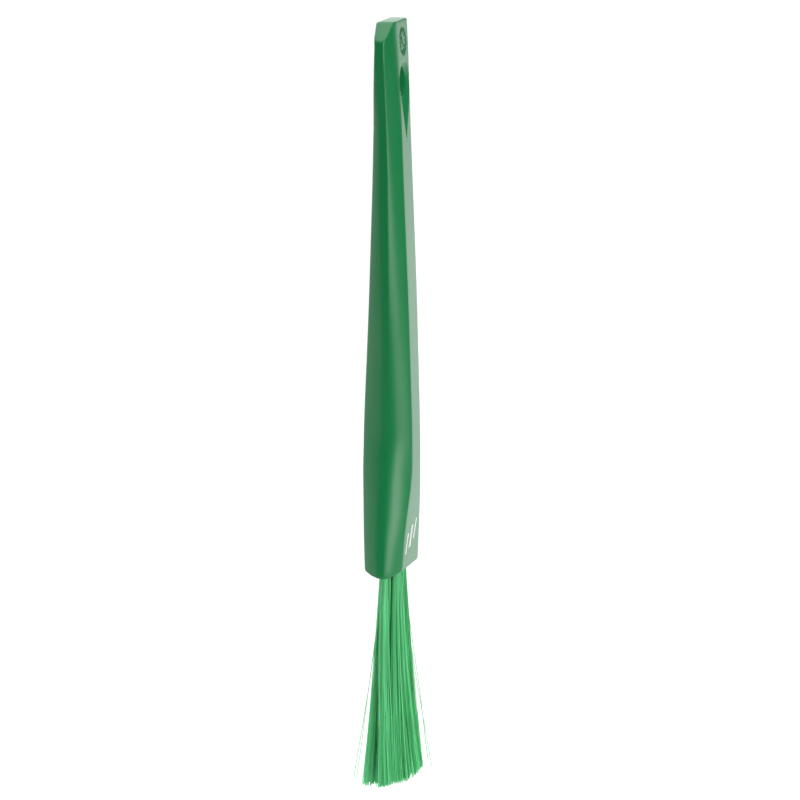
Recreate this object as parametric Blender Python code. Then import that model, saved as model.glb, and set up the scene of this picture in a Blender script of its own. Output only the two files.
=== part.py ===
# Scrub brush: a one-piece moulded handle with a flared head, and drilled, anchor-set tufts.
# Metres, +Z up. The front, with the marks, is towards -Y. The origin is the centre of the
# hanging hole, so the brush hangs from it with its filaments down.

import math
import random

import bmesh
import bpy
from mathutils import Matrix, Vector
from mathutils.geometry import delaunay_2d_cdt

# Handle
HANDLE_LENGTH = 0.1656
HEAD_WIDTH = 0.030
GRIP_THICKNESS = 0.0148
BOTTOM_RISE = 0.0015
END_ROUND = 0.0006
FACE_EDGE_ROUND = 0.0005
TOP_EDGE_ROUND = 0.0020
FACET_WIDTH = 0.0051
FACET_HEIGHT = 0.0058

# Hanging hole and the teardrop dish that leads into it
HOLE_DIAMETER = 0.0092
HOLE_FROM_TOP = 0.0183
DISH_WIDTH = 0.0125
DISH_WALL_RUN = 0.0015
DISH_WALL_DEPTH = 0.0011
DISH_DEPTH = 0.0025
DISH_POINT_BELOW_HOLE = 0.017

# Shallow round mould mark on the front face
MARK_DIAMETER = 0.0088
MARK_DEPTH = 0.00025
MARK_ABOVE_HOLE = 0.0121

# Filament tufts
BRISTLE_LENGTH = 0.0622
TUFT_HOLE_DIAMETER = 0.0024
TUFT_HOLE_DEPTH = 0.0090
TUFT_EDGE_WALL = 0.0028
ROW_SPACING = 0.0020
MOUTH_SETBACK = 0.0004
STRAND_RADIUS = 0.0001
TRIM_OVERHANG = 0.0020
TRIM_THICKNESS = 0.0162
TUFT_SPREAD = 0.0027
TRIM_SLANT = 0.0009
TRIM_UNEVENNESS = 0.0012
TIP_SCATTER = 0.00016

# Anchors
ANCHOR_WIDTH = 0.0029
ANCHOR_HEIGHT = 0.0016
ANCHOR_THICKNESS = 0.0003
ANCHOR_CORNER = 0.0004
ANCHOR_DEPTH = 0.0072

# Clearances
TUFT_CLEARANCE = 0.00025
ANCHOR_CLEARANCE = 0.0002
CUT_OVERRUN = 0.002

# Counts
RING_COUNT = 42
SIDE_POINTS = 4
MIDDLE_TUFTS = 6
OUTER_TUFTS = 3
STRANDS_PER_TUFT = 30
PLUG_SIDES = 14
BORE_SIDES = 16
HANG_HOLE_SIDES = 48
MARK_SIDES = 36

# Outline of the handle from its bottom (0) to its top (1), in shares of half the head's width
ridge_width_shares = (
    (0, 1.0), (0.065, 0.91), (0.132, 0.78), (0.192, 0.68), (0.253, 0.61), (0.375, 0.635),
    (0.49, 0.685), (0.62, 0.71), (0.71, 0.72), (0.80, 0.725), (0.88, 0.79), (0.94, 0.865),
    (1, 0.88),
)
back_width_shares = (
    (0, 0.80), (0.065, 0.70), (0.132, 0.55), (0.192, 0.45), (0.253, 0.385), (0.375, 0.42),
    (0.49, 0.50), (0.62, 0.555), (0.71, 0.59), (0.80, 0.61), (0.88, 0.73), (0.94, 0.83),
    (1, 0.85),
)
front_width_shares = (
    (0, 0.69), (0.065, 0.645), (0.10, 0.585), (0.132, 0.50), (0.16, 0.425), (0.20, 0.36),
    (0.253, 0.362), (0.375, 0.373), (0.62, 0.393), (0.80, 0.39), (0.88, 0.455), (0.94, 0.515),
    (1, 0.52),
)

# Depth of the front and back faces from the middle plane, in shares of half the grip's thickness
front_depth_shares = (
    (0, 0.715), (0.03, 0.745), (0.065, 0.786), (0.10, 0.845), (0.132, 0.905), (0.16, 0.95),
    (0.205, 0.985), (0.253, 0.977), (0.375, 0.91), (0.49, 0.835), (0.62, 0.725), (0.71, 0.645),
    (0.80, 0.57), (0.88, 0.51), (0.94, 0.445), (1, 0.37),
)
back_depth_shares = (
    (0, 0.78), (0.065, 0.87), (0.132, 0.965), (0.192, 1.025), (0.225, 1.035), (0.253, 1.03),
    (0.31, 0.985), (0.375, 0.91), (0.49, 0.765), (0.62, 0.645), (0.71, 0.565), (0.80, 0.51),
    (0.88, 0.445), (0.94, 0.372), (0.965, 0.355), (1, 0.395),
)

# The narrow flat band along each side, from the ridge in front to its back edge, in the same shares
ridge_forward_shares = (
    (0, 0.07), (0.10, 0.08), (0.253, 0.045), (0.375, 0.095), (0.49, 0.14), (0.71, 0.145),
    (0.80, 0.105), (0.91, 0.055), (1, 0.05),
)
band_back_shares = (
    (0, 0.18), (0.065, 0.225), (0.192, 0.22), (0.31, 0.172), (0.49, 0.141), (0.71, 0.189),
    (0.80, 0.192), (0.88, 0.26), (0.94, 0.27), (1, 0.22),
)
band_tilt = math.radians(9)

# How far the bevels swell between their edges, and where the front edge turns from crisp to soft
front_bulge_shares = (
    (0, 0.81), (0.065, 0.81), (0.132, 0.86), (0.253, 0.95), (0.375, 0.86), (0.49, 0.79),
    (0.71, 0.71), (0.80, 0.64), (0.91, 0.52), (1, 0.5),
)
back_bulge_share = 0.61
soft_edge_shares = ((0, 0.0), (0.78, 0.0), (0.93, 1.0), (1, 1.0))

edge_middle_share = 0.5
end_turn_shares = (1.0, 0.5, 0.0)
merge_share = 0.001
bend_share = 0.45
flare_power = 1.2
dome_share = 0.6
point_angle = math.radians(59)
sharp_angle = math.radians(17)
golden_angle = math.pi * (3 - math.sqrt(5))
trim_seed = 11

handle_top = HOLE_FROM_TOP
handle_bottom = handle_top - HANDLE_LENGTH
tuft_pitch = (HEAD_WIDTH - 2 * TUFT_EDGE_WALL - TUFT_HOLE_DIAMETER) / (MIDDLE_TUFTS - 1)
trim_width = HEAD_WIDTH + 2 * TRIM_OVERHANG


def clear_scene():
    for thing in list(bpy.data.objects):
        bpy.data.objects.remove(thing, do_unlink=True)


def make_material(name, colour, roughness, metallic):
    material = bpy.data.materials.new(name)
    material.use_nodes = True
    shader = material.node_tree.nodes["Principled BSDF"]
    shader.inputs["Base Color"].default_value = (*colour, 1)
    shader.inputs["Roughness"].default_value = roughness
    shader.inputs["Metallic"].default_value = metallic
    return material


def make_object(name, bm, material=None, parent=None, location=(0, 0, 0)):
    mesh = bpy.data.meshes.new(name)
    bm.to_mesh(mesh)
    bm.free()
    thing = bpy.data.objects.new(name, mesh)
    bpy.context.scene.collection.objects.link(thing)
    thing.location = location
    if material:
        mesh.materials.append(material)
    if parent:
        thing.parent = parent
    return thing


def shade_round(thing):
    thing.data.shade_smooth()
    thing.data.set_sharp_from_angle(angle=sharp_angle)


def as_cutter(thing):
    thing.hide_render = True
    thing.display_type = "WIRE"
    return thing


def cut_with(target, cutter, name):
    cut = target.modifiers.new(name, "BOOLEAN")
    cut.operation = "DIFFERENCE"
    cut.solver = "EXACT"
    cut.object = cutter


# A smooth curve through a table's points that never swings past them
def smooth_value(table, position):
    last = len(table) - 1
    rises = [
        (table[i + 1][1] - table[i][1]) / (table[i + 1][0] - table[i][0]) for i in range(last)
    ]
    slopes = [rises[0]]
    for before, after in zip(rises, rises[1:]):
        slopes.append(2 * before * after / (before + after) if before * after > 0 else 0.0)
    slopes.append(rises[-1])
    i = 0
    while i < last - 1 and position > table[i + 1][0]:
        i += 1
    step = table[i + 1][0] - table[i][0]
    t = min(max((position - table[i][0]) / step, 0), 1)
    start_weight = (1 + 2 * t) * (1 - t) ** 2
    end_weight = t * t * (3 - 2 * t)
    start_pull = t * (1 - t) ** 2 * step
    end_pull = t * t * (t - 1) * step
    return (
        start_weight * table[i][1] + end_weight * table[i + 1][1]
        + start_pull * slopes[i] + end_pull * slopes[i + 1]
    )


def front_depth(share):
    return GRIP_THICKNESS / 2 * smooth_value(front_depth_shares, share)


def back_depth(share):
    return GRIP_THICKNESS / 2 * smooth_value(back_depth_shares, share)


def share_at(height):
    return (height - handle_bottom) / HANDLE_LENGTH


def curve_point(start, pull, end, t):
    return start * (1 - t) ** 2 + pull * (2 * t * (1 - t)) + end * t * t


# Points of one quarter of a section, from the flat face round its edge and down the bevel
def quarter_points(band_edge, corner, bulge_share, edge_round):
    swell = (band_edge.x - corner.x) * bulge_share
    pull = Vector((corner.x + swell, (corner.y + band_edge.y) / 2))
    on_face = corner - Vector((edge_round, 0))
    on_side = corner + (pull - corner).normalized() * edge_round
    points = [on_face, curve_point(on_face, corner, on_side, edge_middle_share), on_side]
    for i in range(1, SIDE_POINTS + 1):
        points.append(curve_point(on_side, pull, band_edge, i / (SIDE_POINTS + 1)))
    points.append(band_edge)
    return points


# One closed section of the handle, going round from the back face by +X to the front and by -X
def section_points(share):
    half_head = HEAD_WIDTH / 2
    half_grip = GRIP_THICKNESS / 2
    ridge_y = -half_grip * smooth_value(ridge_forward_shares, share)
    ridge = Vector((half_head * smooth_value(ridge_width_shares, share), ridge_y))
    band_y = half_grip * smooth_value(band_back_shares, share)
    band = Vector((ridge.x - math.tan(band_tilt) * (band_y - ridge_y), band_y))
    back = Vector((half_head * smooth_value(back_width_shares, share), back_depth(share)))
    front = Vector((half_head * smooth_value(front_width_shares, share), -front_depth(share)))
    softness = smooth_value(soft_edge_shares, share)
    front_round = FACE_EDGE_ROUND + (TOP_EDGE_ROUND - FACE_EDGE_ROUND) * softness
    front_bulge_share = smooth_value(front_bulge_shares, share)
    half = quarter_points(band, back, back_bulge_share, FACE_EDGE_ROUND)
    half.extend(reversed(quarter_points(ridge, front, front_bulge_share, front_round)))
    other_half = [Vector((-point.x, point.y)) for point in reversed(half)]
    return half + other_half


# Rings of the loft as (height, inset, bottom) rows; the inset rings round off both ends
def ring_rows():
    rows = []
    for turn in end_turn_shares:
        inset = END_ROUND * (1 - math.cos(turn * math.pi / 2))
        rise = END_ROUND * (1 - math.sin(turn * math.pi / 2))
        rows.append((handle_bottom + rise, inset, True))
    first_level = handle_bottom + BOTTOM_RISE + END_ROUND * 2
    last_level = handle_top - END_ROUND
    for i in range(RING_COUNT):
        height = first_level + (last_level - first_level) * i / (RING_COUNT - 1)
        rows.append((height, 0, False))
    for turn in reversed(end_turn_shares[:-1]):
        inset = END_ROUND * (1 - math.cos(turn * math.pi / 2))
        rise = END_ROUND * math.sin(turn * math.pi / 2)
        rows.append((last_level + rise, inset, False))
    return rows


# The underside of the head is highest at the front and back and lowest along the middle
def underside_rise(y):
    depth = front_depth(0) if y < 0 else back_depth(0)
    return BOTTOM_RISE * (y / depth) ** 2


def loft_ring(bm, height, inset, follows_underside):
    points = section_points(share_at(height))
    width = max(point.x for point in points)
    depth = max(point.y for point in points)
    ring = []
    for point in points:
        x = point.x * (1 - inset / width)
        y = point.y * (1 - inset / depth)
        z = height + (underside_rise(point.y) if follows_underside else 0)
        ring.append(bm.verts.new((x, y, z)))
    return ring


# An end cap as a ladder of flat strips between each point and its mirror image
def close_end(bm, ring, facing_up):
    count = len(ring)
    for i in range(count // 2 - 1):
        strip = [ring[i], ring[i + 1], ring[count - 2 - i], ring[count - 1 - i]]
        bm.faces.new(reversed(strip) if facing_up else strip)


def cut_facets(bm):
    ridge = HEAD_WIDTH / 2 * smooth_value(ridge_width_shares, 1)
    for side in (1, -1):
        corner = Vector((side * ridge, 0, handle_top - FACET_HEIGHT))
        outwards = Vector((side * FACET_HEIGHT, 0, FACET_WIDTH)).normalized()
        everything = bm.verts[:] + bm.edges[:] + bm.faces[:]
        cut = bmesh.ops.bisect_plane(
            bm, geom=everything, plane_co=corner, plane_no=outwards, clear_outer=True
        )
        rim = [item for item in cut["geom_cut"] if isinstance(item, bmesh.types.BMEdge)]
        bmesh.ops.contextual_create(bm, geom=rim)
    bmesh.ops.recalc_face_normals(bm, faces=bm.faces)


def build_handle_blank():
    bm = bmesh.new()
    rings = [loft_ring(bm, *row) for row in ring_rows()]
    for lower, upper in zip(rings, rings[1:]):
        count = len(lower)
        for i in range(count):
            following = (i + 1) % count
            bm.faces.new((lower[i], upper[i], upper[following], lower[following]))
    close_end(bm, rings[0], False)
    close_end(bm, rings[-1], True)
    cut_facets(bm)
    return bm


# Teardrop round the hole: an arc and the two straight lines that meet at its point
def teardrop_points(radius):
    reach = DISH_POINT_BELOW_HOLE * radius / (DISH_WIDTH / 2)
    tangent = math.asin(radius / reach)
    arc_steps = HANG_HOLE_SIDES // 2
    start = -tangent
    sweep = math.pi + 2 * tangent
    points = []
    for i in range(arc_steps + 1):
        angle = start + sweep * i / arc_steps
        points.append((radius * math.cos(angle), radius * math.sin(angle)))
    points.append((0, -reach))
    return points


# A point set off from the front or back face, following the face's depth at its height
def face_point(bm, facing, x, z, offset):
    face_depth = front_depth if facing < 0 else back_depth
    return bm.verts.new((x, facing * (face_depth(share_at(z)) + offset), z))


def close_fan(bm, ring, centre):
    for a, b in zip(ring, ring[1:] + ring[:1]):
        bm.faces.new((a, b, centre))


# The dish has a steep teardrop wall, then hollows gently to a point inside the hanging hole
def build_dish_cutter(facing):
    radius = DISH_WIDTH / 2
    outer = radius + CUT_OVERRUN * DISH_WALL_RUN / DISH_WALL_DEPTH
    bm = bmesh.new()
    rings = []
    for size, offset in ((outer, CUT_OVERRUN), (radius - DISH_WALL_RUN, -DISH_WALL_DEPTH)):
        rings.append([face_point(bm, facing, x, z, offset) for x, z in teardrop_points(size)])
    join_rings(bm, rings)
    close_fan(bm, rings[0], face_point(bm, facing, 0, 0, CUT_OVERRUN))
    close_fan(bm, rings[1], face_point(bm, facing, 0, 0, -DISH_DEPTH))
    bmesh.ops.recalc_face_normals(bm, faces=bm.faces)
    return as_cutter(make_object("dish_cutter", bm))


# The mark is a shallow round recess with a floor that runs along the front face
def build_mark_cutter():
    radius = MARK_DIAMETER / 2
    bm = bmesh.new()
    rings = []
    for offset in (CUT_OVERRUN, -MARK_DEPTH):
        ring = []
        for i in range(MARK_SIDES):
            angle = 2 * math.pi * i / MARK_SIDES
            z = MARK_ABOVE_HOLE + radius * math.sin(angle)
            ring.append(face_point(bm, -1, radius * math.cos(angle), z, offset))
        close_fan(bm, ring, face_point(bm, -1, 0, MARK_ABOVE_HOLE, offset))
        rings.append(ring)
    join_rings(bm, rings)
    bmesh.ops.recalc_face_normals(bm, faces=bm.faces)
    return as_cutter(make_object("mark_cutter", bm))


def build_hole_cutter():
    bm = bmesh.new()
    length = GRIP_THICKNESS + 2 * CUT_OVERRUN
    bmesh.ops.create_cone(
        bm, cap_ends=True, segments=HANG_HOLE_SIDES,
        radius1=HOLE_DIAMETER / 2, radius2=HOLE_DIAMETER / 2, depth=length,
    )
    bm.transform(Matrix.Rotation(math.pi / 2, 4, "X"))
    return as_cutter(make_object("hang_hole_cutter", bm))


# Places of the tufts: a middle row, and a front and a back row set in the gaps between them
def tuft_places():
    places = []
    for i in range(MIDDLE_TUFTS):
        x = (i - (MIDDLE_TUFTS - 1) / 2) * tuft_pitch
        places.append(("middle_%d" % (i + 1), x, 0.0))
    for row, y in (("front", -ROW_SPACING), ("back", ROW_SPACING)):
        for i in range(OUTER_TUFTS):
            x = (i - (OUTER_TUFTS - 1) / 2) * tuft_pitch
            places.append(("%s_%d" % (row, i + 1), x, y))
    return places


# Drilled blind holes with the drill's own point
def build_bore_cutter():
    bm = bmesh.new()
    radius = TUFT_HOLE_DIAMETER / 2
    point = radius / math.tan(point_angle)
    rows = (
        (handle_bottom - CUT_OVERRUN, radius),
        (handle_bottom + TUFT_HOLE_DEPTH, radius),
    )
    for _, x, y in tuft_places():
        rings = [circle_ring(bm, x, y, z, size, BORE_SIDES) for z, size in rows]
        join_rings(bm, rings)
        bm.faces.new(reversed(rings[0]))
        tip = bm.verts.new((x, y, handle_bottom + TUFT_HOLE_DEPTH + point))
        for i in range(BORE_SIDES):
            bm.faces.new((rings[1][i], rings[1][(i + 1) % BORE_SIDES], tip))
    return as_cutter(make_object("bore_cutter", bm))


def circle_ring(bm, x, y, z, radius, sides):
    ring = []
    for i in range(sides):
        angle = 2 * math.pi * i / sides
        ring.append(bm.verts.new((x + radius * math.cos(angle), y + radius * math.sin(angle), z)))
    return ring


def join_rings(bm, rings):
    for lower, upper in zip(rings, rings[1:]):
        count = len(lower)
        for i in range(count):
            following = (i + 1) % count
            bm.faces.new((lower[i], lower[following], upper[following], upper[i]))


def add_box(bm, centre, size):
    made = bmesh.ops.create_cube(bm, size=1)["verts"]
    bmesh.ops.scale(bm, vec=size, verts=made)
    bmesh.ops.translate(bm, vec=centre, verts=made)


def anchor_centre(x, y):
    return Vector((x, y, handle_bottom + ANCHOR_DEPTH))


# The pocket that an anchor presses into the walls on both sides of its hole
def build_pocket_cutter():
    bm = bmesh.new()
    gap = 2 * ANCHOR_CLEARANCE
    size = (ANCHOR_WIDTH + gap, ANCHOR_THICKNESS + gap, ANCHOR_HEIGHT + gap)
    for _, x, y in tuft_places():
        add_box(bm, anchor_centre(x, y), size)
    return as_cutter(make_object("pocket_cutter", bm))


# Flat anchor with its two leading corners cut off
def build_anchor(name, x, y, material, parent):
    half_width = ANCHOR_WIDTH / 2
    half_height = ANCHOR_HEIGHT / 2
    outline = (
        (-half_width, -half_height), (half_width, -half_height),
        (half_width, half_height - ANCHOR_CORNER), (half_width - ANCHOR_CORNER, half_height),
        (-half_width + ANCHOR_CORNER, half_height), (-half_width, half_height - ANCHOR_CORNER),
    )
    bm = bmesh.new()
    ring = [bm.verts.new((px, -ANCHOR_THICKNESS / 2, pz)) for px, pz in outline]
    face = bm.faces.new(ring)
    grown = bmesh.ops.extrude_face_region(bm, geom=[face])["geom"]
    moved = [item for item in grown if isinstance(item, bmesh.types.BMVert)]
    bmesh.ops.translate(bm, vec=(0, ANCHOR_THICKNESS, 0), verts=moved)
    bmesh.ops.recalc_face_normals(bm, faces=bm.faces)
    return make_object("anchor_" + name, bm, material, parent, anchor_centre(x, y))


# Roots of the strands in one tuft, spread evenly over its round end
def root_reach():
    return TUFT_HOLE_DIAMETER / 2 - TUFT_CLEARANCE - 2 * STRAND_RADIUS


def strand_roots():
    reach = root_reach()
    roots = []
    for i in range(STRANDS_PER_TUFT):
        distance = reach * math.sqrt((i + 0.5) / STRANDS_PER_TUFT)
        angle = i * golden_angle
        roots.append((distance * math.cos(angle), distance * math.sin(angle)))
    return roots


# How far a strand's tip moves out from its root: each tuft widens evenly about its own middle,
# and the tufts move apart by at least as much, so no two strands cross
def tip_move(tuft_x, tuft_y, root):
    outer_x = (MIDDLE_TUFTS - 1) / 2 * tuft_pitch
    apart_x = (trim_width / 2 - TUFT_SPREAD) / outer_x - 1
    apart_y = (TRIM_THICKNESS / 2 - TUFT_SPREAD) / ROW_SPACING - 1
    widening = TUFT_SPREAD / root_reach() - 1
    return tuft_x * apart_x + root[0] * widening, tuft_y * apart_y + root[1] * widening


# The drilled end of one tuft with a flat end that has an opening for each strand
def build_plug(bm, mouth, roots):
    radius = TUFT_HOLE_DIAMETER / 2 - TUFT_CLEARANCE
    end = handle_bottom + TUFT_HOLE_DEPTH - mouth - TUFT_CLEARANCE
    rows = ((0, radius), (end - radius * dome_share, radius), (end, radius * dome_share))
    rings = [circle_ring(bm, 0, 0, z, size, PLUG_SIDES) for z, size in rows]
    join_rings(bm, rings)
    bm.faces.new(rings[-1])
    flat_points = [Vector((vertex.co.x, vertex.co.y)) for vertex in rings[0]]
    rim = [(i, (i + 1) % PLUG_SIDES) for i in range(PLUG_SIDES)]
    strands = []
    for x, y in roots:
        first = len(flat_points)
        for i in range(3):
            angle = 2 * math.pi * i / 3
            corner = (x + STRAND_RADIUS * math.cos(angle), y + STRAND_RADIUS * math.sin(angle))
            flat_points.append(Vector(corner))
        strands.append((first, first + 1, first + 2))
    found = delaunay_2d_cdt(flat_points, rim, strands, 0, STRAND_RADIUS * merge_share)
    faces = found[2]
    sources = found[5]
    vertices = list(rings[0])
    for point in flat_points[PLUG_SIDES:]:
        vertices.append(bm.verts.new((point.x, point.y, 0)))
    for face, source in zip(faces, sources):
        if not source:
            bm.faces.new([vertices[i] for i in reversed(face)])
    return [[vertices[i] for i in strand] for strand in strands]


def grow_strand(bm, base, tuft_x, tuft_y, root, mouth, picker):
    move_x, move_y = tip_move(tuft_x, tuft_y, root)
    move_x += TIP_SCATTER * picker.uniform(-1, 1)
    move_y += TIP_SCATTER * picker.uniform(-1, 1)
    slant = TRIM_SLANT * (1 - (tuft_y + root[1] + move_y) / (TRIM_THICKNESS / 2))
    shorter = TRIM_UNEVENNESS * picker.random()
    tip = handle_bottom - BRISTLE_LENGTH + slant + shorter - mouth
    ring = base
    for share in (bend_share, 1.0):
        spread = share ** flare_power
        upper = ring
        ring = []
        for vertex in base:
            place = vertex.co + Vector((move_x * spread, move_y * spread, tip * share))
            ring.append(bm.verts.new(place))
        for i in range(3):
            following = (i + 1) % 3
            bm.faces.new((upper[following], upper[i], ring[i], ring[following]))
    bm.faces.new(reversed(ring))


def build_tuft(name, x, y, material, parent, pocket, picker):
    bm = bmesh.new()
    mouth = handle_bottom + underside_rise(y) + MOUTH_SETBACK
    roots = strand_roots()
    bases = build_plug(bm, mouth, roots)
    for base, root in zip(bases, roots):
        grow_strand(bm, base, x, y, root, mouth, picker)
    bmesh.ops.recalc_face_normals(bm, faces=bm.faces)
    tuft = make_object("tuft_" + name, bm, material, parent, (x, y, mouth))
    cut_with(tuft, pocket, "anchor_slot")
    return tuft


def build_brush():
    clear_scene()
    plastic = make_material("handle_plastic", (0.018, 0.19, 0.066), 0.38, 0)
    filament = make_material("filament", (0.07, 0.43, 0.14), 0.45, 0)
    steel = make_material("anchor_steel", (0.62, 0.60, 0.56), 0.3, 1)
    brush = bpy.data.objects.new("brush", None)
    bpy.context.scene.collection.objects.link(brush)

    handle = make_object("handle", build_handle_blank(), plastic, brush)
    pocket = build_pocket_cutter()
    cut_with(handle, build_dish_cutter(-1), "front_dish")
    cut_with(handle, build_dish_cutter(1), "back_dish")
    cut_with(handle, build_hole_cutter(), "hanging_hole")
    cut_with(handle, build_mark_cutter(), "mould_mark")
    cut_with(handle, build_bore_cutter(), "tuft_holes")
    cut_with(handle, pocket, "anchor_pockets")
    shade_round(handle)

    picker = random.Random(trim_seed)
    for name, x, y in tuft_places():
        tuft = build_tuft(name, x, y, filament, brush, pocket, picker)
        shade_round(tuft)
        build_anchor(name, x, y, steel, brush)


build_brush()
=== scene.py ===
import math

import bmesh
import bpy
from mathutils import Matrix, Vector


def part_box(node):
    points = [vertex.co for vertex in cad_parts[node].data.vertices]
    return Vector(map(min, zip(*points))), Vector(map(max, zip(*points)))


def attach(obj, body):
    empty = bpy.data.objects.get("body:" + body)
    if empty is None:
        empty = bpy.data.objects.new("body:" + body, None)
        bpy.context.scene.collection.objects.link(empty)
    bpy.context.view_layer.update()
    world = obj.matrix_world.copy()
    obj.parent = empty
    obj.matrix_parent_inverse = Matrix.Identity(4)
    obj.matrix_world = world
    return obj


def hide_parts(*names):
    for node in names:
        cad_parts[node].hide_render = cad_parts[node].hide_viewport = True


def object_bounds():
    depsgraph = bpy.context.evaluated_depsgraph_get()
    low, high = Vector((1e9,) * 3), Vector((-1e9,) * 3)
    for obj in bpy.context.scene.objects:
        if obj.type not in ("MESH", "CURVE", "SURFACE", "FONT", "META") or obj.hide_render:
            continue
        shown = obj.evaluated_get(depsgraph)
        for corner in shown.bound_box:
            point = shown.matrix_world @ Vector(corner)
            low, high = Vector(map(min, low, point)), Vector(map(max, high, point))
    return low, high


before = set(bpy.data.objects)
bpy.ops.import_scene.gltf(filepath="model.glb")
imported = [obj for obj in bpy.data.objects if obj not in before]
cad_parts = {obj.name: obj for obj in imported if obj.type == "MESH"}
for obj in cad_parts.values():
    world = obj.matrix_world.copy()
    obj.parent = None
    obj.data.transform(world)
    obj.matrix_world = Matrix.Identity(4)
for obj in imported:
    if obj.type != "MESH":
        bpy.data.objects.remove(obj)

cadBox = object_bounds()
handleLow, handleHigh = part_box("handle")
handleLength = handleHigh.z - handleLow.z
print("frame loaded, handle", round(handleLength * 1000, 1), "mm long")

# the photograph's width and height in pixels
imageSide = 800
sharpAngle = 32  # degrees between faces from which an edge stays sharp


# objects that an empty Blender starts with
for name in ("Cube", "Light", "Camera"):
    if name in bpy.data.objects:
        bpy.data.objects.remove(bpy.data.objects[name], do_unlink=True)


# small helpers for meshes

def newObject(name, data):
    thing = bpy.data.objects.new(name, data)
    bpy.context.scene.collection.objects.link(thing)
    return thing


def meshObject(name, bm):
    bmesh.ops.recalc_face_normals(bm, faces=bm.faces)
    if bm.calc_volume(signed=True) < 0:
        bmesh.ops.reverse_faces(bm, faces=bm.faces)
    mesh = bpy.data.meshes.new(name)
    bm.to_mesh(mesh)
    bm.free()
    return newObject(name, mesh)


def shadeRound(thing):
    thing.data.shade_smooth()
    thing.data.set_sharp_from_angle(angle=math.radians(sharpAngle))


def paint(thing, material):
    thing.data.materials.clear()
    thing.data.materials.append(material)


# joins closed rings of points, each to the next by a band of quads
def joinRings(bm, rings):
    for lower, upper in zip(rings, rings[1:]):
        count = len(lower)
        for i in range(count):
            after = (i + 1) % count
            bm.faces.new((lower[i], lower[after], upper[after], upper[i]))


def closedTube(bm, rings):
    joinRings(bm, rings)
    bm.faces.new(reversed(rings[0]))
    bm.faces.new(rings[-1])


def circlePoints(centre, radius, steps):
    turns = [2 * math.pi * i / steps for i in range(steps)]
    return [centre + Vector((radius * math.cos(turn), radius * math.sin(turn))) for turn in turns]


# the mesh that an object's modifiers or letters come to
def finishedMesh(thing):
    bpy.context.view_layer.update()
    graph = bpy.context.evaluated_depsgraph_get()
    return bpy.data.meshes.new_from_object(thing.evaluated_get(graph), depsgraph=graph)


def bakeModifiers(thing):
    finished = finishedMesh(thing)
    thing.modifiers.clear()
    thing.data = finished
    thing.data.name = thing.name


def cutWith(thing, cutter):
    cut = thing.modifiers.new("cut", "BOOLEAN")
    cut.operation = "DIFFERENCE"
    cut.solver = "EXACT"
    cut.object = cutter


def settle(thing, nodes=()):
    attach(thing, "root")
    if nodes:
        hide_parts(*nodes)


# small helpers for node trees

def plug(source, target):
    if isinstance(source, bpy.types.NodeSocket):
        target.id_data.links.new(source, target)
    else:
        target.default_value = source


def setInputs(node, values):
    for name, value in values.items():
        plug(value, node.inputs[name])


def addNode(tree, kind, inputs=None, **settings):
    node = tree.nodes.new(kind)
    for key, value in settings.items():
        setattr(node, key, value)
    setInputs(node, inputs or {})
    return node


# makes a node and gives the first output that its settings leave in use
def outputOf(tree, kind, inputs=None, **settings):
    node = addNode(tree, kind, inputs, **settings)
    return next(socket for socket in node.outputs if socket.enabled)


def mathNode(tree, operation, *values):
    return outputOf(tree, "ShaderNodeMath", dict(enumerate(values)), operation=operation)


def add(tree, a, b):
    return mathNode(tree, "ADD", a, b)


def multiply(tree, a, b):
    return mathNode(tree, "MULTIPLY", a, b)


def mixNumbers(tree, a, b, t):
    return add(tree, a, multiply(tree, mathNode(tree, "SUBTRACT", b, a), t))


def vectorNode(tree, operation, *values):
    return outputOf(tree, "ShaderNodeVectorMath", dict(enumerate(values)), operation=operation)


def combine(tree, *values):
    return outputOf(tree, "ShaderNodeCombineXYZ", dict(enumerate(values)))


def split(tree, vector):
    return addNode(tree, "ShaderNodeSeparateXYZ", {"Vector": vector}).outputs


def objectPlace(tree):
    return addNode(tree, "ShaderNodeTexCoord").outputs["Object"]


def noise(tree, place, scale, detail):
    return outputOf(tree, "ShaderNodeTexNoise", {"Vector": place, "Scale": scale, "Detail": detail})


def smoothRise(tree, value, start, full, level=1.0):
    return outputOf(tree, "ShaderNodeMapRange", {
        "Value": value, "From Min": start, "From Max": full, "To Max": level,
    }, interpolation_type="SMOOTHSTEP")


# inputs come as names with usual values, outputs as names with kinds
def addSockets(tree, inputs, outputs):
    kinds = {int: "Int", float: "Float", tuple: "Color"}
    face = tree.interface
    for name, value in inputs.items():
        kind = "NodeSocket" + kinds.get(type(value), "Material")
        made = face.new_socket(name=name, in_out="INPUT", socket_type=kind)
        if value is not None:
            made.default_value = value
    for name, kind in outputs.items():
        face.new_socket(name=name, in_out="OUTPUT", socket_type="NodeSocket" + kind)


# handle: the same sections as the solid, drawn finer and with soft edges

handleShape = {
    "headWidth": 0.030,
    "gripThickness": 0.0148,
    "bottomRise": 0.0015,
    "topRound": 0.0006,
    "bottomRound": 0.0009,
    "edgeRound": 0.0006,
    "topEdgeRound": 0.0030,
    "bandTilt": 9.0,
    "bandEdgeRound": 0.0003,
    "topBandEdgeRound": 0.0006,
    "bandRoundLimit": 0.4,
    "backBulge": 0.61,
    "facetWidth": 0.0051,
    "facetHeight": 0.0058,
    "facetSoftness": 0.0005,
    "bodyRings": 150,
    "endRings": 26,
    "endTurnRings": 5,
    "sidePoints": 11,
    "edgePoints": 5,
    "bandEdgePoints": 3,
    "faceColumns": 7,
}

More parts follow.
